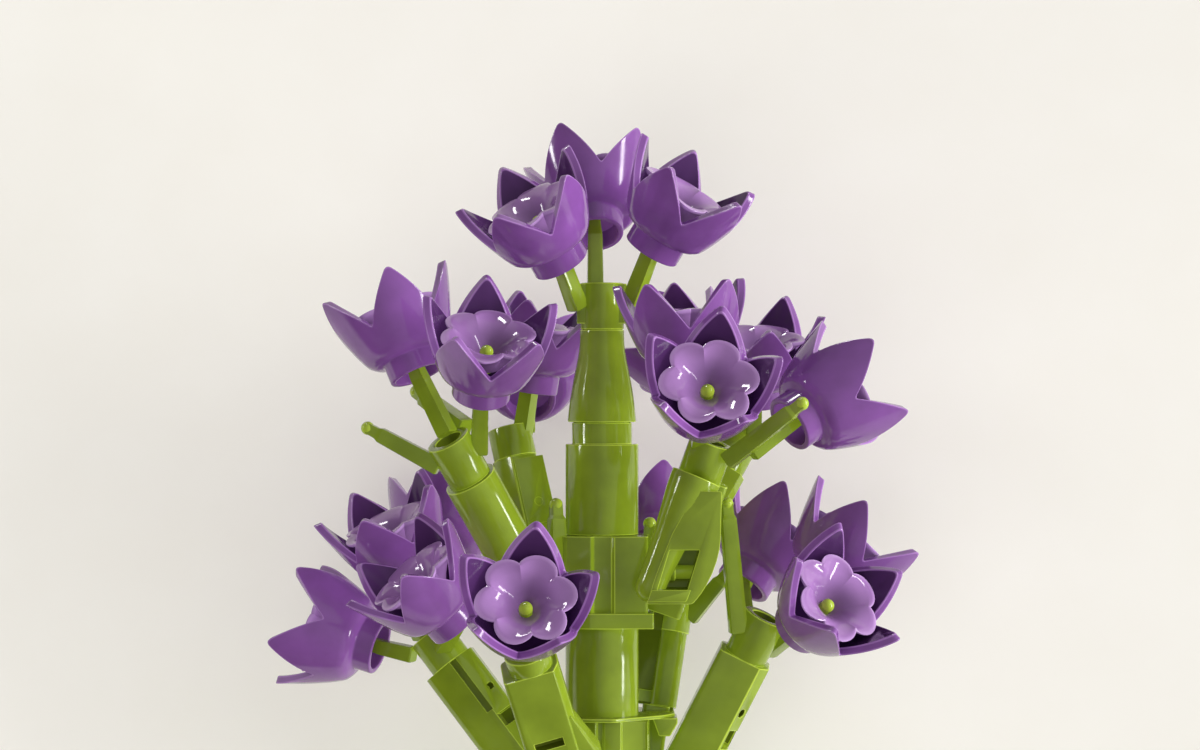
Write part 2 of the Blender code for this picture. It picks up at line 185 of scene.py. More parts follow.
# Radius and height where the outline's straight wall starts, and radius of the cut's two edges
WALL_START = (8.6, 4.5)
CUT_OUTER = 11.6
CUT_INNER = 9.8
WALL_HALF = 0.9
# The round bowl that the wall is bent to: where it starts, where it ends, its spread and its curve
BOWL_START = (9.0, 5.2)
BOWL_TOP = 20.4
BOWL_SPREAD = 5.75
BOWL_CURVE = 0.773
# How near the cut's edges the painted highlight reaches, and where and by how much the painted
# shade on the inside grows weaker towards the points
PAINTED_HIGHLIGHT_REACH = 0.3
LIGHTER_FROM = 13.0
LIGHTER_TO = 21.0
LIGHTER_SHARE = 0.25

# A cup's outline: radius, height and rounding of each corner
CUP_CORNERS = [(CUP_BORE, 4.2, 0), (5.0, 4.2, 0), (5.0, 0.0, 0.3), (6.2, 0.0, 0.35), (6.2, 4.1, 0.4),
               (*WALL_START, 1.1), (11.36, NOTCH_HEIGHT - 0.5, 0), (CUT_OUTER, NOTCH_HEIGHT, 0.24),
               (11.2, NOTCH_HEIGHT, 0), (10.2, NOTCH_HEIGHT, 0), (CUT_INNER, NOTCH_HEIGHT, 0.24),
               (9.49, NOTCH_HEIGHT - 0.5, 0), (7.3, FLOOR_TOP, 1.0), (CUP_BORE, FLOOR_TOP, 0)]


def outline(corners, closed):
    """A wire through the corners in the X-Z plane, with each corner rounded."""
    bm = bmesh.new()
    knots = [bm.verts.new((radius, 0, height)) for radius, height, _ in corners]
    ends = knots[1:] + knots[:1] if closed else knots[1:]
    for pair in zip(knots, ends):
        bm.edges.new(pair)
    for knot, (_, _, rounding) in zip(knots, corners):
        if rounding:
            bmesh.ops.bevel(bm, geom=[knot], offset=rounding, segments=3, profile=0.5,
                            affect="VERTICES", material=-1)
    return bm


def cut_long(bm, longest, cuts):
    """Divides the outline's edges that are longer than a limit."""
    edges = [edge for edge in bm.edges if edge.calc_length() > longest]
    bmesh.ops.subdivide_edges(bm, edges=edges, cuts=cuts)


def spin_round(bm, columns):
    """Turns an outline about Z into a closed skin whose faces point outwards."""
    bmesh.ops.spin(bm, geom=bm.verts[:] + bm.edges[:], cent=(0, 0, 0), axis=(0, 0, 1),
                   angle=2 * math.pi, steps=columns, use_merge=True)
    bmesh.ops.remove_doubles(bm, verts=bm.verts, dist=0.001)
    bmesh.ops.recalc_face_normals(bm, faces=bm.faces)
    return bm


def smooth_step(low, high, value):
    """0 below low, 1 above high, and a smooth rise between them."""
    share = min(1.0, max(0.0, (value - low) / (high - low)))
    return share * share * (3 - 2 * share)


def rounded(value, zone):
    """A distance from a corner, with the corner at 0 turned into a small round."""
    return (value * value + zone * zone) / (2 * zone) if value < zone else value


def bunched(angle, repeats):
    """Moves a column's angle so that columns lie closer at points and notches."""
    turn = angle * repeats / math.pi
    half = math.floor(turn + 1e-6)
    share = turn - half
    return (half + (1 - math.cos(math.pi * share)) / 2) * math.pi / repeats


def petal_height(angle):
    """Height of the cup's rim: straight edges from rounded points down to rounded notches."""
    turn = angle * PETALS / (2 * math.pi) % 1.0
    from_notch = min(1.0, abs(1 - 2 * turn))
    share = 1 - rounded(1 - rounded(from_notch, NOTCH_ROUND), TIP_ROUND)
    return NOTCH_HEIGHT + TIP_RISE * share


def bowl_radius(height):
    """The bowl's outer radius: round at its foot, then ever straighter up to the points."""
    radius, foot = BOWL_START
    rise = max(0.0, (height - foot) / (BOWL_TOP - foot))
    return radius + BOWL_SPREAD * rise ** BOWL_CURVE


def straight_radius(height):
    """Radius of the outline's straight wall, before it is bent to the bowl."""
    radius, foot = WALL_START
    return radius + (CUT_OUTER - radius) * (height - foot) / (NOTCH_HEIGHT - foot)


def cup_moulding():
    """A cup about Z: its rim is drawn up into points, and its wall is bent to the bowl."""
    bm = outline(CUP_CORNERS, closed=True)
    cut_long(bm, 3.4, 5)
    spin_round(bm, CUP_COLUMNS)
    zones = bm.verts.layers.float_color.new("zones")
    band = NOTCH_HEIGHT - RIM_BAND
    for vert in bm.verts:
        height = vert.co.z
        radius = math.hypot(vert.co.x, vert.co.y)
        angle = bunched(math.atan2(vert.co.y, vert.co.x), PETALS)
        top = petal_height(angle)
        if height > band:
            raised = height + top - NOTCH_HEIGHT
        elif height > FLOOR_TOP:
            stretch = (top - RIM_BAND - FLOOR_TOP) / (band - FLOOR_TOP)
            raised = FLOOR_TOP + (height - FLOOR_TOP) * stretch
        else:
            raised = height
        # A painted highlight along the cut's two edges, and painted shade on the wall's inside below them
        from_cut = min(abs(radius - CUT_OUTER), abs(radius - CUT_INNER))
        painted_highlight = 1 if math.hypot(from_cut, height - NOTCH_HEIGHT) < PAINTED_HIGHLIGHT_REACH else 0
        painted_shade = 0.0
        if radius < straight_radius(height) - WALL_HALF and height > FLOOR_TOP - 0.1:
            shown = smooth_step(NOTCH_HEIGHT - 0.6, NOTCH_HEIGHT - 0.1, height)
            lighter = smooth_step(LIGHTER_FROM, LIGHTER_TO, raised) * LIGHTER_SHARE
            painted_shade = (1 - lighter) * (1 - shown)
        if height > BOWL_START[1]:
            radius += bowl_radius(raised) - straight_radius(height)
        vert.co = (radius * math.cos(angle), radius * math.sin(angle), raised)
        vert[zones] = (painted_highlight, painted_shade, 0, 1)
    bmesh.ops.recalc_face_normals(bm, faces=bm.faces)
    return bm


PIGMENT_CLOUD = 9.09
FLOW_LINE = 3.125
MOULD_GRAIN = 0.357
NOISE_SPREAD = {"From Min": 0.3, "From Max": 0.7}
# How much the painted highlight on thin edges lightens the colour
PAINTED_HIGHLIGHT_SHARE = 0.6
# The tint that the painted shade in hollows multiplies the colour by
PAINTED_SHADE_TINT = (0.11, 0.09, 0.13, 1)
ABS_IOR = 1.54
GLOSS_LEVEL = 0.5
# Gloss level under the painted shade
PAINTED_SHADE_GLOSS_LEVEL = 0.12


def moulded_plastic(name, colour, shade, edge, roughness=0.2, hollows=False):
    """Injection-moulded ABS from a polished mould: sharp gleams, bent a little by the flow lines.

    The pigment lies in faint clouds, and the mould leaves a fine grain. Where a piece has the
    attribute "zones", its red is a painted highlight that lightens the colour on thin edges, and
    its green is painted shade that darkens it in hollows, which also shine less there.
    """
    made, tree = new_material(name)
    where = add_node(tree, "ShaderNodeTexCoord").outputs["Object"]
    clouds = add_node(tree, "ShaderNodeTexNoise", {},
                      {"Vector": where, "Scale": per_metre(PIGMENT_CLOUD), "Detail": 3.0})
    flow = add_node(tree, "ShaderNodeTexNoise", {},
                    {"Vector": where, "Scale": per_metre(FLOW_LINE), "Detail": 2.0})
    grain = add_node(tree, "ShaderNodeTexNoise", {},
                     {"Vector": where, "Scale": per_metre(MOULD_GRAIN), "Detail": 2.0})
    spread = add_node(tree, "ShaderNodeMapRange", {}, {"Value": clouds.outputs["Fac"], **NOISE_SPREAD})
    body = add_node(tree, "ShaderNodeMix", {"data_type": "RGBA"},
                    {"Factor": spread.outputs["Result"], "A": hex_colour(shade), "B": hex_colour(colour)})
    zones = add_node(tree, "ShaderNodeAttribute", {"attribute_name": "zones"})
    split = add_node(tree, "ShaderNodeSeparateColor", {}, {"Color": zones.outputs["Color"]})
    highlight_amount = add_node(tree, "ShaderNodeMath", {"operation": "MULTIPLY"},
                    {0: split.outputs["Red"], 1: PAINTED_HIGHLIGHT_SHARE})
    # Painted highlight on thin edges, then painted shade in hollows
    highlighted = add_node(tree, "ShaderNodeMix", {"data_type": "RGBA"},
                     {"Factor": highlight_amount.outputs["Value"], "A": body.outputs["Result"],
                      "B": hex_colour(edge)})
    painted_shade = add_node(tree, "ShaderNodeMix", {"data_type": "RGBA", "blend_type": "MULTIPLY"},
                    {"Factor": split.outputs["Green"], "A": highlighted.outputs["Result"], "B": PAINTED_SHADE_TINT})
    sheen = add_node(tree, "ShaderNodeMapRange", {},
                     {"Value": flow.outputs["Fac"], **NOISE_SPREAD,
                      "To Min": roughness - 0.04, "To Max": roughness + 0.05})
    wave = add_node(tree, "ShaderNodeBump", {},
                    {"Height": flow.outputs["Fac"], "Strength": 0.12, "Distance": 0.2 * MM})
    fine = add_node(tree, "ShaderNodeBump", {},
                    {"Height": grain.outputs["Fac"], "Strength": 0.05, "Distance": 0.05 * MM,
                     "Normal": wave.outputs["Normal"]})
    plastic = add_node(tree, "ShaderNodeBsdfPrincipled", {},
                       {"Base Color": painted_shade.outputs["Result"], "Roughness": sheen.outputs["Result"],
                        "Normal": fine.outputs["Normal"], "IOR": ABS_IOR,
                        "Specular IOR Level": GLOSS_LEVEL})
    # The gloss fades under the painted shade
    if hollows:
        dull = add_node(tree, "ShaderNodeMapRange", {},
                        {"Value": split.outputs["Green"],
                         "To Min": GLOSS_LEVEL, "To Max": PAINTED_SHADE_GLOSS_LEVEL})
        tree.links.new(dull.outputs["Result"], plastic.inputs["Specular IOR Level"])
    add_node(tree, "ShaderNodeOutputMaterial", {}, {"Surface": plastic.outputs["BSDF"]})
    return made


CREASE_ANGLE = math.radians(38)


def set_down(name, bm, finish, slot, *nodes):
    """Lays a finished upright mesh down as a piece that stands for CAD nodes."""
    bm.transform(LAY)
    mesh = bpy.data.meshes.new(name)
    bm.to_mesh(mesh)
    bm.free()
    mesh.materials.append(finish)
    mesh.shade_smooth()
    mesh.set_sharp_from_angle(angle=CREASE_ANGLE)
    piece = bpy.data.objects.new(name, mesh)
    bpy.context.scene.collection.objects.link(piece)
    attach(piece, "root")
    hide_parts(*nodes)


# Blossoms: branch, open end of the collar, then how far each turns round the trunk from the
# viewer, how far it leans from upright, and its turn on its own bar, in degrees
BLOSSOMS = {
    "top_left": ("top", (-8.6, -5.5, 23.7), -50, 36, 7),
    "top_back": ("top", (-1.5, 5.5, 30.5), -174, 35, 59),
    "top_right": ("top", (10.5, -4.0, 26.5), 61, 35, 38),
    "middle_left_out": ("middle_left", (-39.1, -6.5, 0.0), -120, 26, 40),
    "middle_left_front": ("middle_left", (-25.5, -16.0, -4.2), 14, 33, 12),
    "back_left_up": ("back_left", (-16.0, 14.5, -3.5), 61, 10, 53),
    "back_left_out": ("back_left", (-16.5, 26.5, -5.5), 180, 60, 64),
    "right_up": ("right_front", (18.0, -10.5, -1.0), -67, 4, 18),
    "right_front": ("right_front", (21.0, -22.5, -9.0), 4, 58, 6),
    "right_out": ("right_front", (39.5, -11.5, -10.5), 118, 61, 70),
    "right_back_in": ("right_back", (26.0, 27.5, -2.5), -134, 53, 48),
    "right_back_up": ("right_back", (33.5, 14.5, -6.0), 4, 18, 58),
    "lower_left_up": ("lower_left", (-41.5, 14.5, -45.5), -59, 26, 30),
    "lower_left_front": ("lower_left", (-31.0, -6.5, -53.0), -64, 44, 51),
    "lower_left_out": ("lower_left", (-48.5, 12.5, -59.5), -104, 74, 56),
    "lower_left_back": ("lower_left", (-38.0, 25.8, -41.5), 166, 47, 22),
    "lower_right_front": ("lower_right", (42.0, -4.0, -54.0), 37, 61, 10),
    "lower_right_up": ("lower_right", (45.0, 8.0, -47.0), 104, 42, 8),
    "lower_right_back": ("lower_right", (31.0, 19.0, -46.5), 125, 40, 57),
    "lower_middle_front": ("lower_middle", (-15.7, -36.0, -52.7), 2, 58, 9),
    "back_right_out": ("back_right", (11.5, 24.0, -41.5), -172, 61, 35),
}


def bloom_matrix(collar, toward, lean, turn):
    """Where a blossom's own Z axis, from its collar outwards, stands in the upright flower."""
    return (Matrix.Translation(collar) @ Matrix.Rotation(math.radians(toward), 4, "Z")
            @ Matrix.Rotation(math.radians(lean), 4, "X") @ Matrix.Rotation(math.radians(turn), 4, "Z"))


def set_blossoms(moulding, piece_end, finish, slot, node_start):
    """Sets a copy of a moulding down at each blossom's place."""
    for name, (_, collar, toward, lean, turn) in BLOSSOMS.items():
        bm = moulding.copy()
        bm.transform(bloom_matrix(collar, toward, lean, turn))
        set_down(name + piece_end, bm, finish, slot, node_start + name)
    moulding.free()


cup_plastic = moulded_plastic("purple moulded ABS", "#7c4b92", "#6d4380", "#a67abb", 0.11, hollows=True)
set_blossoms(cup_moulding(), "_cup", cup_plastic, "cup_plastic", "cup_")


# Inner flowers. Injection-moulded ABS in a lighter purple: a shallow trumpet with six round
# lobes, ridged between them, that is pushed down over the bar inside its cup.
LOBES = 6
LOBE_STEP = 2 * math.pi / LOBES
FLOWER_COLUMNS = 120
FLOWER_BORE = 1.6
FLOWER_EDGE = 10.6
# The circle that draws each lobe: how far its centre is out, and its radius
LOBE_CENTRE = 6.4
LOBE_ROUND = 4.25
# Heights that the straight trumpet gains: its swell, the ridges between lobes, the rolled edge
FLOWER_SWELL = 1.3
RIDGE_RISE = 0.17
EDGE_ROLL = 0.5
# How strongly painted shade darkens the throat
THROAT_SHADE = 0.5
FLOWER_CORNERS = [(FLOWER_BORE, 6.95, 0), (4.0, 6.95, 0.4), (10.2, 14.3, 0.5), (FLOWER_EDGE, 15.3, 0.45),
                  (FLOWER_BORE, 9.9, 0)]


def from_lobe(angle):
    """How far an angle lies from the middle of the nearest lobe, as a share of a lobe's step."""
    return abs(angle / LOBE_STEP - round(angle / LOBE_STEP))


def lobe_reach(angle):
    """The outline's radius: six circles set round the middle."""
    across = from_lobe(angle) * LOBE_STEP
    aside = LOBE_CENTRE * math.sin(across)
    return LOBE_CENTRE * math.cos(across) + math.sqrt(LOBE_ROUND ** 2 - aside ** 2)


def flower_moulding():
    """An inner flower about Z, at its height inside the cup, with painted shade in the throat and a
    painted highlight on the edge.
    """
    bm = outline(FLOWER_CORNERS, closed=True)
    cut_long(bm, 3.0, 9)
    spin_round(bm, FLOWER_COLUMNS)
    zones = bm.verts.layers.float_color.new("zones")
    for vert in bm.verts:
        radius = math.hypot(vert.co.x, vert.co.y)
        angle = bunched(math.atan2(vert.co.y, vert.co.x), LOBES)
        share = radius / FLOWER_EDGE
        out = max(0.0, (radius - FLOWER_BORE) / (FLOWER_EDGE - FLOWER_BORE))
        swell = FLOWER_SWELL * math.sin(math.pi * min(1.0, out) ** 0.85) ** 1.4
        ridge = RIDGE_RISE * (1 - math.cos(2 * math.pi * from_lobe(angle))) * smooth_step(0.15, 1.0, out)
        roll = EDGE_ROLL * smooth_step(0.84, 1.0, out)
        radius *= 1 + (lobe_reach(angle) / FLOWER_EDGE - 1) * smooth_step(0.4, 0.98, share)
        if radius > FLOWER_BORE + 0.1:
            height = vert.co.z + swell + ridge - roll
            vert.co = (radius * math.cos(angle), radius * math.sin(angle), height)
        # Painted shade in the throat, and a painted highlight along the lobes' edge
        throat = (1 - smooth_step(0.25, 0.68, share)) * THROAT_SHADE
        vert[zones] = (smooth_step(0.9, 1.0, share), throat, 0, 1)
    bmesh.ops.recalc_face_normals(bm, faces=bm.faces)
    return bm


flower_plastic = moulded_plastic("light purple moulded ABS", "#9b71ae", "#8d659d", "#bf9bd0", 0.08,
                                 hollows=True)
set_blossoms(flower_moulding(), "_inner_flower", flower_plastic, "inner_flower_plastic", "inner_")


# Branches. Injection-moulded ABS, lime green: a slim tube with an open top stands in a stout
# sleeve that clips to the trunk, and ribbed bars spring from the tube to carry the cups.
TUBE_RADIUS = 4.75
TUBE_BORE = 2.9
TUBE_DEPTH = 7.0
ROUND_COLUMNS = 48
# A bar's half width in the branch and in the flower, and how far it reaches on each side of the
# collar's end: up to its ball, and down to its foot. Its thick part ends inside the cup's floor
BAR_THICK = 1.88
BAR_THIN = 1.45
BAR_END = 10.8
BAR_ROOT = 11.5
THICK_END = 4.4
BAR_COLUMNS = 16
# How far a bar's section reaches at its grooves, flats and corners, as shares of its half width
BAR_REACH = (0.88, 1.0, 1.2, 1.0)
ROUND_REACH = (1.0,)
# A bare bar's waist and the two ends of its neck, from its tip
WAIST = 9.0
NECK_FOOT = 4.6
NECK_TOP = 3.7
SOFT_EDGE = 0.22
SHARP_ANGLE = math.radians(32)
TO_VIEWER = (0, -1, 0)

# Head of the bars, foot on the trunk, bare tube below the head, and the sleeve's section: each
# corner to the front and to the right of the branch's middle, with its rounding
BRANCHES = {
    "middle_left": ((-32.4, -12.0, -14.0), (-12.8, 2.0, -50.0), 9.6,
                    [(5.7, -5.7, 5.1), (5.7, 5.7, 5.4), (-5.7, 5.7, 5.4), (-5.7, -5.7, 5.4)]),
    "back_left": ((-20.4, 16.3, -12.2), (-12.2, 9.5, -48.0), 6.4,
                  [(1.4, -5.2, 1.6), (5.0, -0.8, 0.0), (2.2, 4.6, 0.4), (-5.0, 4.6, 1.0),
                   (-5.0, -5.2, 1.5)]),
    "right_front": ((23.1, -12.4, -14.5), (10.5, -6.5, -50.0), 7.7,
                    [(1.0, -5.2, 1.0), (1.0, 6.4, 1.0), (-5.2, 6.4, 4.5), (-5.2, -5.2, 4.5)]),
    "right_back": ((30.8, 20.0, -13.2), (12.5, 4.5, -44.0), 10.0,
                   [(4.5, -5.5, 1.0), (4.5, 4.0, 0.2), (2.6, 5.3, 0.2), (-4.5, 5.3, 2.0),
                    (-4.5, -5.5, 2.0)]),
    "lower_left": ((-37.2, 8.2, -56.8), (-8.6, 2.5, -94.0), 7.3,
                   [(1.6, -6.6, 1.6), (5.0, 0.3, 0.0), (5.0, 1.6, 0.0), (2.4, 5.6, 0.8),
                    (-4.6, 5.6, 1.5), (-4.6, -6.6, 1.5)]),
    "lower_right": ((34.9, -1.0, -52.3), (12.8, 8.0, -97.0), 9.3,
                    [(4.6, -5.8, 0.9), (4.6, 3.7, 0.0), (1.6, 5.8, 0.3), (-4.6, 5.8, 1.5),
                     (-4.6, -5.8, 1.5)]),
    "lower_middle": ((-15.5, -28.9, -57.5), (-5.4, -9.5, -93.0), 3.0,
                     [(4.4, -6.2, 0.9), (4.4, 4.4, 0.3), (1.4, 5.7, 0.5), (-4.5, 5.7, 1.5),
                      (-4.5, -6.2, 1.5)]),
    "back_right": ((15.9, 16.4, -46.5), (11.9, 12.5, -72.4), 10.0,
                   [(0.6, -7.2, 0.3), (0.6, -1.5, 0.0), (4.1, -1.3, 1.9), (4.1, 4.3, 2.2),
                    (-4.4, 4.3, 2.0), (-4.4, -7.2, 1.0)]),
}

# Slots cut in the sleeves: two corners of a box, to the front, to the right and up from the
# middle of the sleeve's top
SLOTS = {
    "lower_left": [((3.9, 0.2, -13.7), (6.0, 1.75, 1.0)), ((-1.5, 1.8, -18.4), (6.0, 6.5, -15.2))],
    "lower_right": [((-3.0, 2.4, -20.0), (3.9, 7.0, -15.4))],
    "lower_middle": [((2.4, -3.9, -18.2), (6.0, 2.1, -16.3))],
    "back_right": [((-1.2, -4.2, -15.9), (2.0, -1.2, -13.3))],
}

# Round holes in the sleeves: middle, way, radius and depth
HOLES = {
    "lower_left": [((3.4, 4.2, -9.3), (0.84, 0.55, 0), 0.8, 5.0)],
    "lower_right": [((3.1, 4.75, -11.0), (0.57, 0.82, 0), 0.95, 6.0)],
}

# Painted shade where little light gets into the sleeves' hollows: two corners of a box, and its strength
PAINTED_SHADE_BOXES = {
    "lower_left": [((3.8, 0.1, -13.8), (4.7, 1.8, 0.5), 0.4),
                   ((-1.7, 1.0, -18.2), (4.9, 6.0, -15.4), 0.6),
                   ((1.5, 2.0, -10.0), (4.3, 4.6, -8.6), 0.8)],
    "lower_right": [((-1.0, 1.0, -12.0), (3.9, 4.9, -10.0), 0.8),
                    ((-3.2, 2.0, -19.9), (3.9, 5.5, -15.5), 0.55)],
    "lower_middle": [((2.2, -3.95, -18.3), (4.3, 2.15, -16.2), 0.75)],
    "back_right": [((0.3, -7.1, -30.0), (0.7, -1.3, 0.5), 0.5)],
}

# Bars whose foot is not straight below their cup
BAR_FEET = {
    "top_left": (-5.2, -2.5, 14.5),
    "top_back": (-1.4, 0.4, 17.0),
    "top_right": (5.9, -1.5, 14.7),
    "right_back_in": (31.5, 21.0, -13.0),
    "middle_left_out": (-32.8, -10.0, -12.4),
    "middle_left_front": (-26.0, -11.0, -16.2),
    "right_out": (31.6, -13.5, -16.4),
    "lower_left_up": (-37.5, 12.0, -57.5),
    "lower_left_front": (-34.5, 3.5, -58.5),
    "lower_left_out": (-41.2, 9.4, -60.9),
    "lower_left_back": (-40.0, 11.5, -57.0),
    "lower_right_back": (31.5, 6.0, -55.0),
}

# Bare bars, by branch: where each tip and each foot is
BARE_BARS = {
    "middle_left": [((-51.0, -9.0, -10.6), (-34.6, -10.5, -19.4)),
                    ((-41.0, 5.0, -3.0), (-29.2, -8.0, -11.2))],
    "right_front": [((42.8, -21.5, -5.1), (26.5, -15.5, -18.0))],
    "lower_right": [((26.6, -3.0, -26.2), (29.2, -2.5, -55.0))],
    "back_right": [((28.6, 12.0, -41.9), (19.4, 14.6, -53.2))],
}


def mark(faces, zones, painted_highlight, painted_shade):
    """Marks faces for the plastic: a painted highlight as on thin edges, painted shade as in hollows."""
    for face in faces:
        for loop in face.loops:
            loop[zones] = (painted_highlight, painted_shade, 0, 1)


def zone_layer(bm):
    """The layer of marks that the plastic reads; a part that has none yet gets an empty one."""
    zones = bm.loops.layers.float_color.get("zones")
    if zones is None:
        zones = bm.loops.layers.float_color.new("zones")
        mark(bm.faces, zones, 0, 0)
    return zones


def paint_shade_in_box(bm, low, high, depth):
    """Gives the faces whose middle lies in a box painted shade."""
    within = [face for face in bm.faces
              if all(a < here < b for a, here, b in zip(low, face.calc_center_median(), high))]
    mark(within, zone_layer(bm), 0, depth)


def new_piece():
    """An empty mesh that is ready to take marked parts."""
    bm = bmesh.new()
    zone_layer(bm)
    return bm


def join_on(whole, part, matrix=Matrix.Identity(4)):
    """Moves a part to its place and adds it to the piece that it belongs to."""
    zone_layer(part)
    part.transform(matrix)
    holder = bpy.data.meshes.new("holder")
    part.to_mesh(holder)
    part.free()
    whole.from_mesh(holder)
    bpy.data.meshes.remove(holder)


def stand(foot, run, facing):
    """A frame on foot with Z along run and X as near as can be to facing."""
    up = Vector(run).normalized()
    side = Vector(facing)
    side = (side - up * side.dot(up)).normalized()
    turn = Matrix((side, up.cross(side), up)).transposed().to_4x4()
    return Matrix.Translation(foot) @ turn


def soften(bm, width=SOFT_EDGE):
    """Rounds the sharp edges, and marks the rounds with a painted highlight, a light line along each edge.
    """
    zones = zone_layer(bm)
    sharp = [edge for edge in bm.edges if edge.is_manifold and edge.calc_face_angle(0) > SHARP_ANGLE]
    made = bmesh.ops.bevel(bm, geom=sharp, offset=width, segments=2, profile=0.5, affect="EDGES",
                           material=-1, clamp_overlap=True)
    mark(made["faces"], zones, 1, 0)
    return bm


def turned(corners, columns=ROUND_COLUMNS):
    """A solid turned about Z from corners that start and end on the axis."""
    return spin_round(outline(corners, closed=False), columns)


def prism(corners, low, high):
    """A bar of one section, from corners in X and Y, each with its rounding, between two heights."""
    bm = bmesh.new()
    knots = [bm.verts.new((x, y, low)) for x, y, _ in corners]
    bm.faces.new(knots)
    for knot, (_, _, rounding) in zip(knots, corners):
        if rounding:
            bmesh.ops.bevel(bm, geom=[knot], offset=rounding, segments=6, profile=0.5,
                            affect="VERTICES", material=-1)
    made = bmesh.ops.extrude_face_region(bm, geom=bm.faces[:])["geom"]
    bmesh.ops.translate(bm, verts=[item for item in made if isinstance(item, bmesh.types.BMVert)],
                        vec=(0, 0, high - low))
    bmesh.ops.recalc_face_normals(bm, faces=bm.faces)
    return bm


def block(low, high):
    """A plain box between two corners."""
    bm = bmesh.new()
    size = Vector(high) - Vector(low)
    bmesh.ops.create_cube(bm, size=1.0)
    bmesh.ops.scale(bm, vec=size, verts=bm.verts)
    bmesh.ops.translate(bm, vec=Vector(low) + size / 2, verts=bm.verts)
    return bm


def drill(place, way, radius, depth):
    """A round cutter whose middle is at a place and whose length lies along way."""
    bm = bmesh.new()
    bmesh.ops.create_cone(bm, cap_ends=True, segments=24, radius1=radius, radius2=radius, depth=depth)
    bm.transform(Matrix.Translation(place) @ Vector(way).to_track_quat("Z", "Y").to_matrix().to_4x4())
    return bm


def cut_out(bm, cutter):
    """The piece without the volume that a cutter fills."""
    holders = []
    for shape in (bm, cutter):
        mesh = bpy.data.meshes.new("holder")
        shape.to_mesh(mesh)
        shape.free()
        holder = bpy.data.objects.new("holder", mesh)
        bpy.context.scene.collection.objects.link(holder)
        holders.append(holder)
    cut = holders[0].modifiers.new("cut", "BOOLEAN")
    cut.object = holders[1]
    made = bmesh.new()
    made.from_object(holders[0], bpy.context.evaluated_depsgraph_get())
    for holder in holders:
        mesh = holder.data
        bpy.data.objects.remove(holder)
        bpy.data.meshes.remove(mesh)
    return made


def swept_bar(stations, reach):
    """A section drawn along stations, each a place and a half width; reach gives its outline."""
    bm = bmesh.new()
    bmesh.ops.create_circle(bm, segments=BAR_COLUMNS, radius=1.0, cap_ends=True)
    for vert in bm.verts:
        column = round(math.atan2(vert.co.y, vert.co.x) * BAR_COLUMNS / (2 * math.pi))
        vert.co *= reach[column % len(reach)]
    places = [Vector(place) for place, _ in stations]
    heading = (places[1] - places[0]).normalized()
    turn = heading.to_track_quat("Z", "Y")
    last = Matrix.Identity(4)
    cap = bm.faces[:][0]
    for index, (_, radius) in enumerate(stations):
        ahead = places[min(index + 1, len(places) - 1)] - places[max(index - 1, 0)]
        turn = heading.rotation_difference(ahead) @ turn
        heading = ahead.normalized()
        here = Matrix.Translation(places[index]) @ turn.to_matrix().to_4x4() @ Matrix.Scale(radius, 4)
        if index:
            made = bmesh.ops.extrude_face_region(bm, geom=[cap])["geom"]
            cap = next(item for item in made if isinstance(item, bmesh.types.BMFace))
        bmesh.ops.transform(bm, matrix=here @ last.inverted(), verts=cap.verts)
        last = here
    bmesh.ops.recalc_face_normals(bm, faces=bm.faces)
    return bm


def add_ball(whole, place):
    """The round end of a bar, with a weak painted highlight all over."""
    ball = bmesh.new()
    bmesh.ops.create_uvsphere(ball, u_segments=20, v_segments=14, radius=BAR_THIN)
    mark(ball.faces, zone_layer(ball), 0.7, 0)
    join_on(whole, ball, Matrix.Translation(place))


def carrying_bar(whole, foot, collar, axis):
    """A thick grooved bar up into a cup's collar, then the thin round one that shows in the flower."""
    foot, collar = Vector(foot), Vector(collar)
    way = (collar - foot).normalized()
    step = collar + axis * THICK_END
    ball = collar + axis * BAR_END
    thick = [(foot - way * 0.3, BAR_THICK - 0.15), (foot, BAR_THICK + 0.1),
             (collar - way * 0.6, BAR_THICK - 0.1), (step, BAR_THIN)]
    join_on(whole, swept_bar(thick, BAR_REACH))
    join_on(whole, swept_bar([(step, BAR_THIN), (ball, BAR_THIN)], ROUND_REACH))
    add_ball(whole, ball)


def bare_bar(whole, tip, foot):
    """A free bar: stout at its foot, slimmer towards a small neck, then a ball."""
    tip, foot = Vector(tip), Vector(foot)
    way = (foot - tip).normalized()
    ball = tip + way * BAR_THIN
    stations = [(foot + way * 0.3, BAR_THICK - 0.05), (foot, BAR_THICK + 0.2),
                (tip + way * WAIST, BAR_THICK), (tip + way * NECK_FOOT, BAR_THICK - 0.1),
                (tip + way * NECK_TOP, BAR_THIN - 0.1), (ball, BAR_THIN - 0.15)]
    join_on(whole, swept_bar(stations, BAR_REACH))
    add_ball(whole, ball)


def grow_bars(whole, branch):
    """All the bars that spring from a branch, those with a blossom and the bare ones."""
    for name, (owner, collar, toward, lean, _) in BLOSSOMS.items():
        if owner == branch:
            axis = bloom_matrix((0, 0, 0), toward, lean, 0) @ Vector((0, 0, 1))
            carrying_bar(whole, BAR_FEET.get(name, Vector(collar) - axis * BAR_ROOT), collar, axis)
    for tip, foot in BARE_BARS.get(branch, []):
        bare_bar(whole, tip, foot)


def lifted(place, height):
    """A place that is given from the sleeve's top, with its height from the branch's foot."""
    return (place[0], place[1], place[2] + height)


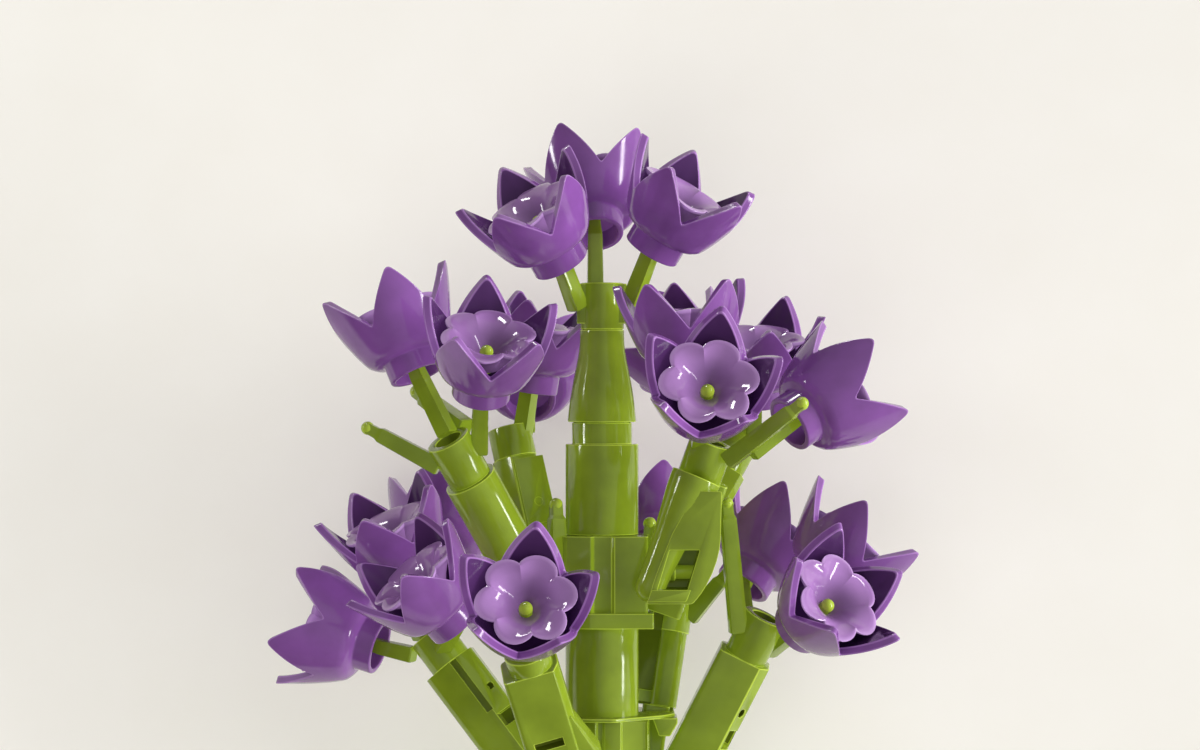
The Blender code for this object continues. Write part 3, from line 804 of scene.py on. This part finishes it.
def branch_tube(branch, length, sleeve):
    """The slim tube from the sleeve's top up to the bars, bored out at its open end."""
    top = length + 0.5
    bore_foot = top - TUBE_DEPTH
    tube = soften(turned([(0, bore_foot, 0), (TUBE_BORE, bore_foot, 0), (TUBE_BORE, top, 0),
                          (TUBE_RADIUS, top, 0), (TUBE_RADIUS, sleeve - 0.1, 0), (0, sleeve - 0.1, 0)]))
    bore = TUBE_BORE + 0.05
    # Painted shade inside the bore
    paint_shade_in_box(tube, (-bore, -bore, bore_foot - 0.1), (bore, bore, top - 0.4), 0.7)
    if branch == "back_right":
        # The recess beside the sleeve's column goes on up the tube, with painted shade on its face
        tube = cut_out(tube, block((0.6, -6.0, sleeve - 1.0), (6.0, -1.5, length - 6.6)))
        paint_shade_in_box(tube, (0.5, -6.0, sleeve - 1.0), (0.7, -1.5, length), 0.5)
    return tube


def branch_sleeve(branch, section, sleeve):
    """The stout sleeve with its slots and holes, from the branch's foot to the sleeve's top."""
    body = prism(section, 0, sleeve)
    for low, high in SLOTS.get(branch, []):
        body = cut_out(body, block(lifted(low, sleeve), lifted(high, sleeve)))
    for place, way, radius, depth in HOLES.get(branch, []):
        body = cut_out(body, drill(lifted(place, sleeve), way, radius, depth))
    soften(body)
    # Painted shade in the sleeve's hollows
    for low, high, depth in PAINTED_SHADE_BOXES.get(branch, []):
        paint_shade_in_box(body, lifted(low, sleeve), lifted(high, sleeve), depth)
    return body


def sleeve_extra(branch, sleeve):
    """What is moulded onto a sleeve, if anything: a tab, a shoe or a foot."""
    if branch == "back_left":
        # A flat tab over the right face, with a dimple near its foot
        tab = prism([(5.5, -0.2, 0.0), (2.9, 6.1, 0.2), (1.6, 5.7, 0.0), (4.2, -0.6, 0.0)],
                    sleeve - 15.8, sleeve - 1.0)
        return cut_out(tab, drill((4.6, 3.3, sleeve - 11.0), (0.92, 0.39, 0), 0.95, 1.2))
    if branch == "lower_middle":
        # A shoe on the right face, whose top slopes back to it
        shoe = prism([(3.9, 3.5, 0.2), (3.9, 9.0, 1.2), (-3.0, 9.0, 1.2), (-3.0, 3.5, 0.2)],
                     sleeve - 24.0, sleeve - 12.4)
        for vert in shoe.verts:
            if vert.co.z > sleeve - 13:
                vert.co.y = min(vert.co.y, 5.0)
        return shoe
    if branch == "back_right":
        # A square bar from the trunk's deck down beside the trunk
        return prism([(3.0, -3.0, 1.0), (3.0, 3.0, 1.0), (-3.0, 3.0, 1.0), (-3.0, -3.0, 1.0)], -20.0, 0.0)
    return None


# Turns a prism so that its section is seen from the front: X right, Y up, heights to the viewer
FACE_VIEWER = Matrix.Rotation(math.radians(90), 4, "X")


def add_clip_front(whole):
    """The front of the right front branch's clip: plate, window, column, ledge and axle."""
    plate = prism([(19.7, -24.2, 0.0), (25.1, -24.4, 0.4), (24.6, -42.0, 7.5), (18.9, -48.0, 0.5),
                   (9.3, -48.0, 0.5), (11.2, -42.0, 0.0), (14.6, -33.4, 0.0)], 7.0, 18.6)
    window = prism([(14.15, -36.7, 0.2), (20.45, -36.7, 0.2), (17.9, -45.0, 0.2), (11.6, -45.0, 0.2)],
                   10.5, 20.0)
    plate = soften(cut_out(plate, window))
    # Painted shade inside the window
    paint_shade_in_box(plate, (11.0, -46.0, 10.0), (21.0, -36.0, 17.8), 0.5)
    join_on(whole, plate, FACE_VIEWER)
    # A half-round column down the plate's left side
    column = turned([(0, 0, 0), (3.1, 0, 2.8), (3.3, 9, 4), (4.2, 17, 6), (5.4, 26, 3), (5.4, 28.4, 0),
                     (4.8, 28.4, 0), (4.8, 24, 0), (0, 24, 0)])
    join_on(whole, soften(column), stand((8.9, -15.2, -47.6), (11.0, 1.7, 26.0), TO_VIEWER))
    ledge = prism([(10.4, -45.0, 0.0), (18.6, -45.0, 0.2), (17.6, -47.5, 0.5), (9.4, -47.5, 0.2)],
                  9.0, 19.5)
    join_on(whole, soften(ledge), FACE_VIEWER)
    # The axle that shows in the window, with a collar on it
    axle = turned([(0, -3.4, 0), (1.5, -3.4, 0), (1.5, -1.6, 0), (1.9, -1.6, 0), (1.9, -0.6, 0),
                   (1.5, -0.6, 0), (1.5, 4, 0), (0, 4, 0)], 24)
    join_on(whole, soften(axle, 0.12), stand((16.0, -12.6, -41.6), (1, 0, 0), TO_VIEWER))


green_plastic = moulded_plastic("lime green moulded ABS", "#7f9423", "#6e811c", "#bcd344", 0.12,
                                hollows=True)
for branch, (head, foot, bare, section) in BRANCHES.items():
    run = Vector(head) - Vector(foot)
    sleeve = run.length - bare
    place = stand(foot, run, TO_VIEWER)
    whole = new_piece()
    join_on(whole, branch_tube(branch, run.length, sleeve), place)
    join_on(whole, branch_sleeve(branch, section, sleeve), place)
    extra = sleeve_extra(branch, sleeve)
    if extra is not None:
        join_on(whole, soften(extra), place)
    grow_bars(whole, branch)
    if branch == "right_front":
        add_clip_front(whole)
    set_down(branch + "_branch", whole, green_plastic, "green_plastic", "branch_" + branch)


# Trunk. Injection-moulded ABS, lime green: the top head with its three bars, a cone, a round
# brick, two many-sided hubs with their flanges and a longer round brick, all plugged in line.
TRUNK_COLUMNS = 64
BRICK_RADIUS = 7.85
PLUG = 0.5
SEAM = 0.1
HEAD_TOP = 19.8
HEAD_FOOT = 9.8
CONE_TOP = 9.7
CONE_FOOT = -10.1
SHOULDER = -14.8
UPPER_BRICK_FOOT = -34.2
FLANGE_TOP = -50.6
FLANGE_FOOT = -53.9
DECK_TOP = -72.9
DECK_FOOT = -73.7
LOWER_BRICK_FOOT = -74.0
LOW_HUB_TOP = -85.6
STEM_TOP = -99.0

whole = new_piece()
join_on(whole, soften(turned([(0, HEAD_TOP, 0), (4.6, HEAD_TOP, 0), (4.7, HEAD_FOOT, 0),
                              (0, HEAD_FOOT, 0)], TRUNK_COLUMNS)))
join_on(whole, soften(prism([(-5.4, -3.0, 0.8), (5.3, -3.0, 0.8), (5.3, 1.5, 0.8), (-5.4, 1.5, 0.8)],
                            11.0, 19.6)))
grow_bars(whole, "top")
set_down("top_bar_head", whole, green_plastic, "green_plastic", "top_prongs")

cone = turned([(0, CONE_TOP + PLUG, 0), (4.3, CONE_TOP + PLUG, 0), (4.3, CONE_TOP, 0), (4.75, CONE_TOP, 0),
               (4.75, 5.9, 2.4), (6.75, -4.0, 2.8), (7.35, -9.7, 0), (7.35, CONE_FOOT, 0),
               (0, CONE_FOOT, 0)], TRUNK_COLUMNS)
set_down("trunk_cone", soften(cone), green_plastic, "green_plastic", "top_cone")

upper_brick = turned([(0, CONE_FOOT + PLUG, 0), (6.0, CONE_FOOT + PLUG, 0), (6.0, CONE_FOOT - SEAM, 0),
                      (6.45, CONE_FOOT - SEAM, 0), (6.45, SHOULDER, 0), (BRICK_RADIUS, SHOULDER, 0),
                      (BRICK_RADIUS, UPPER_BRICK_FOOT, 0), (0, UPPER_BRICK_FOOT, 0)], TRUNK_COLUMNS)
set_down("upper_round_brick", soften(upper_brick), green_plastic, "green_plastic", "upper_barrel")

# The hub's front has flat faces with ridges between them, and its flange stands out below
hub = new_piece()
join_on(hub, soften(prism([(-8.4, -5.5, 0.5), (-7.6, -8.5, 0.3), (-2.4, -9.4, 0.2), (-1.7, -8.5, 0.2),
                           (2.1, -8.5, 0.0), (2.6, -9.9, 0.0), (9.8, -9.3, 0.8), (10.0, 4.6, 1.0),
                           (4.8, 9.4, 1.0), (-4.8, 9.4, 1.0), (-9.2, 4.8, 1.0)],
                          FLANGE_TOP - 0.2, UPPER_BRICK_FOOT - SEAM)))
join_on(hub, soften(prism([(-10.2, -4.5, 0.5), (-8.6, -9.4, 0.4), (-2.6, -10.6, 0.2),
                           (11.0, -10.4, 0.5), (11.2, 4.6, 1.0), (4.8, 10.6, 1.0), (-4.8, 10.6, 1.0),
                           (-10.2, 4.8, 1.0)], FLANGE_FOOT, FLANGE_TOP)))
bare_bar(hub, (-9.9, -3.2, -26.3), (-9.3, -4.5, -44.0))
bare_bar(hub, (10.4, 1.5, -30.6), (9.4, 1.5, -44.0))
set_down("upper_hub", hub, green_plastic, "green_plastic", "hub")

lower_brick = new_piece()
join_on(lower_brick, soften(turned([(0, FLANGE_FOOT + PLUG, 0), (7.2, FLANGE_FOOT + PLUG, 0),
                                    (7.2, FLANGE_FOOT - SEAM, 0), (BRICK_RADIUS, FLANGE_FOOT - SEAM, 0),
                                    (BRICK_RADIUS, LOWER_BRICK_FOOT, 0), (0, LOWER_BRICK_FOOT, 0)],
                                   TRUNK_COLUMNS)))
# A thin deck whose right side carries the back right branch, a holder below it, and a ridged ring
join_on(lower_brick, soften(prism([(-8.4, -7.5, 0.6), (-5.0, -10.4, 0.6), (2.6, -11.0, 0.8),
                                   (13.2, -2.4, 0.8), (15.8, 2.0, 0.8), (15.6, 15.0, 1.5),
                                   (4.0, 15.0, 1.5), (-8.4, 7.5, 1.5)], DECK_FOOT, DECK_TOP)))
join_on(lower_brick, soften(prism([(10.8, -73.5, 0.0), (16.2, -73.5, 0.0), (16.2, -74.6, 0.2),
                                   (14.6, -77.4, 0.3), (12.2, -77.4, 0.3)], -6.0, 3.0)), FACE_VIEWER)
join_on(lower_brick, soften(prism([(-9.2, -4.5, 0.5), (-8.4, -7.9, 0.4), (-1.4, -9.6, 0.2),
                                   (-0.9, -9.0, 0.0), (0.1, -9.0, 0.0), (0.6, -10.0, 0.0),
                                   (3.9, -10.2, 0.0), (4.3, -9.6, 0.0), (9.2, -8.4, 0.0),
                                   (9.7, -9.0, 0.2), (10.2, -3.0, 0.8), (10.0, 4.8, 1.0),
                                   (4.8, 9.4, 1.0), (-4.8, 9.4, 1.0), (-9.2, 4.8, 1.0)],
                                  LOW_HUB_TOP - SEAM, DECK_FOOT + SEAM)))
set_down("lower_round_brick", lower_brick, green_plastic, "green_plastic", "lower_barrel")

HUB_SIDES = 12
HUB_TURN = math.radians(15)
HUB_REACH = 10.5
low_hub = turned([(0, LOW_HUB_TOP, 0), (HUB_REACH, LOW_HUB_TOP, 0), (HUB_REACH, STEM_TOP, 0),
                  (0, STEM_TOP, 0)], HUB_SIDES)
low_hub.transform(Matrix.Rotation(HUB_TURN, 4, "Z"))
set_down("lower_hub", soften(low_hub), green_plastic, "green_plastic", "low_hub")


# Stem. Injection-moulded ABS, a slightly duller green: eight equal round bricks plugged end to
# end, which leaves a fine groove between soft edges at each joint.
STEM_BRICK = 38.4
JOINT_ROUND = 0.45
# How far the first brick of each of the two lengths stays below the piece above
LENGTH_GAP = 0.3

stem_plastic = moulded_plastic("stem green moulded ABS", "#73871f", "#697c1b", "#9db52f")
for name, first, count in (("stem_upper", 0, 2), ("stem_lower", 2, 6)):
    whole = bmesh.new()
    for index in range(first, first + count):
        high = STEM_TOP - index * STEM_BRICK - (LENGTH_GAP if index == first else 0)
        low = STEM_TOP - (index + 1) * STEM_BRICK
        join_on(whole, turned([(0, high, 0), (BRICK_RADIUS, high, JOINT_ROUND),
                               (BRICK_RADIUS, low, JOINT_ROUND), (0, low, 0)], TRUNK_COLUMNS))
    set_down(name + "_bricks", whole, stem_plastic, "stem_plastic", name)


# Knob. Injection-moulded ABS, lime green: the domed head of a pin that is plugged into the stem
# beside the foot of the leaf.
KNOB_HEIGHT = -160.0
KNOB_SIDE = (0.73, -0.68, 0.0)
# Heights along the pin, from the stem's axis
PIN_END = 6.5
HEAD_UNDER = 8.6
HEAD_CROWN = 11.0
PIN_RADIUS = 3.5
KNOB_RADIUS = 6.2

knob = turned([(0, HEAD_CROWN, 0), (3.6, HEAD_CROWN, 1.2), (KNOB_RADIUS, 9.9, 0.7),
               (KNOB_RADIUS, HEAD_UNDER, 0.3), (PIN_RADIUS, HEAD_UNDER, 0.2), (PIN_RADIUS, PIN_END, 0),
               (0, PIN_END, 0)])
knob.transform(stand((0, 0, KNOB_HEIGHT), KNOB_SIDE, (0, 0, 1)))
set_down("stem_knob", knob, green_plastic, "green_plastic", "knob")


# Leaf. One injection-moulded ABS blade, lime green: it curls over to a point and is crowned
# across, so its middle stands forward of its edges.
LEAF_LENGTH = 107.0
LEAF_HALF_WIDTH = 17.0
LEAF_THICK = 2.2
# The foot's middle, to the right and up from the knob, and the blade's lean there and at its tip
LEAF_FOOT = (-9.5, -3.0)
LEAF_LEAN = (5, 92)
# Half widths at the foot and the tip, as shares of the widest, and where it is widest
LEAF_FOOT_SHARE = 0.56
LEAF_TIP_SHARE = 0.1
LEAF_WIDEST = 0.4
LEAF_TAPER = 1.3
# How far the tip stands forward, and the middle of the tip's row forward of its edges
LEAF_FORWARD = 9.0
LEAF_CROWN = 3.0
LEAF_GAP = 0.3
LEAF_ROWS = 48
LEAF_COLUMNS = 16


def leaf_half_width(share):
    """Half the leaf's width a share of the way up it: a broad foot, then a long taper."""
    if share < LEAF_WIDEST:
        swell = math.sin(math.pi / 2 * share / LEAF_WIDEST)
        return LEAF_HALF_WIDTH * (LEAF_FOOT_SHARE + (1 - LEAF_FOOT_SHARE) * swell)
    taper = ((share - LEAF_WIDEST) / (1 - LEAF_WIDEST)) ** LEAF_TAPER
    return LEAF_HALF_WIDTH * (1 - (1 - LEAF_TIP_SHARE) * taper)


def leaf_point(share, side):
    """A point on the blade's middle sheet; side runs from -1 to 1 across it."""
    first, last = (math.radians(angle) for angle in LEAF_LEAN)
    lean = first + (last - first) * share
    curl = LEAF_LENGTH / (last - first)
    x = LEAF_FOOT[0] - curl * (math.cos(first) - math.cos(lean))
    z = LEAF_FOOT[1] + curl * (math.sin(lean) - math.sin(first))
    reach = leaf_half_width(share) * side
    root = BRICK_RADIUS + LEAF_GAP + LEAF_THICK / 2
    front = root + LEAF_FORWARD * share ** 2 - LEAF_CROWN * share * side ** 2
    return Vector((x + math.cos(lean) * reach, -front, KNOB_HEIGHT + z + math.sin(lean) * reach))


bm = bmesh.new()
bmesh.ops.create_grid(bm, x_segments=LEAF_COLUMNS, y_segments=LEAF_ROWS, size=1.0)
for vert in bm.verts:
    vert.co = leaf_point((vert.co.y + 1) / 2, vert.co.x)
bmesh.ops.recalc_face_normals(bm, faces=bm.faces)
bmesh.ops.solidify(bm, geom=bm.faces[:], thickness=LEAF_THICK)
leaf_plastic = moulded_plastic("leaf green moulded ABS", "#758a1c", "#6b8018", "#a2bc2c")
set_down("leaf_blade", bm, leaf_plastic, "leaf_plastic", "leaf")
